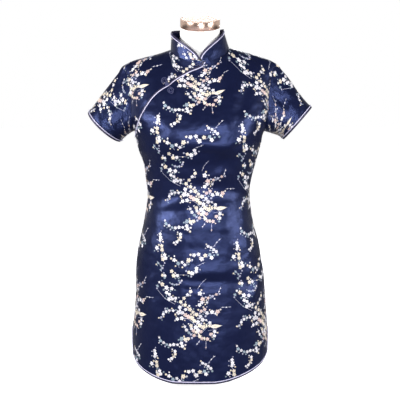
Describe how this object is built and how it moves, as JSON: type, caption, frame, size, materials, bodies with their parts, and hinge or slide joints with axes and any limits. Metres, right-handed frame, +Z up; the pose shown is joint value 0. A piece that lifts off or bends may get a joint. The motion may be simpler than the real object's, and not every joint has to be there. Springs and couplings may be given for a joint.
{
  "type": "cheongsam on dress form",
  "caption": "Short dark brocade cheongsam with short sleeves, a stand collar and a slanting knotted opening, worn by a white limbless dress form on its flat base.",
  "frame": {"origin": "centre of the part's box at the floor, under the dress form's flat base", "axes": "+Z up, the front of the dress faces -Y, and +X is to the viewer's right"},
  "size_m": [0.5446, 0.2618, 0.8989],
  "materials": {
    "brocade": "navy satin brocade woven with pale blossom sprays",
    "binding": "very dark violet navy satin bias binding",
    "piping": "light lilac silver satin piping",
    "frog_cord": "navy satin cord, knotted and coiled",
    "form_shell": "smooth white shell",
    "cap_metal": "polished metal with a rose tint"
  },
  "bodies": {
    "root": {"front_main": "brocade", "front_yoke": "brocade", "back": "brocade", "sleeve_left": "brocade", "sleeve_right": "brocade", "collar": "brocade", "collar_binding": "binding", "placket_binding": "binding", "cuff_left_binding": "binding", "cuff_right_binding": "binding", "hem_front_binding": "binding", "hem_back_binding": "binding", "collar_piping": "piping", "placket_piping": "piping", "cuff_left_piping": "piping", "cuff_right_piping": "piping", "hem_front_piping": "piping", "hem_back_piping": "piping", "chest_frog_lower": "frog_cord", "chest_frog_upper": "frog_cord", "chest_frog_knot": "frog_cord", "neck_frog_lower": "frog_cord", "neck_frog_upper": "frog_cord", "neck_frog_knot": "frog_cord", "dress_form": "form_shell", "neck_cap": "cap_metal"}
  },
  "joints": []
}
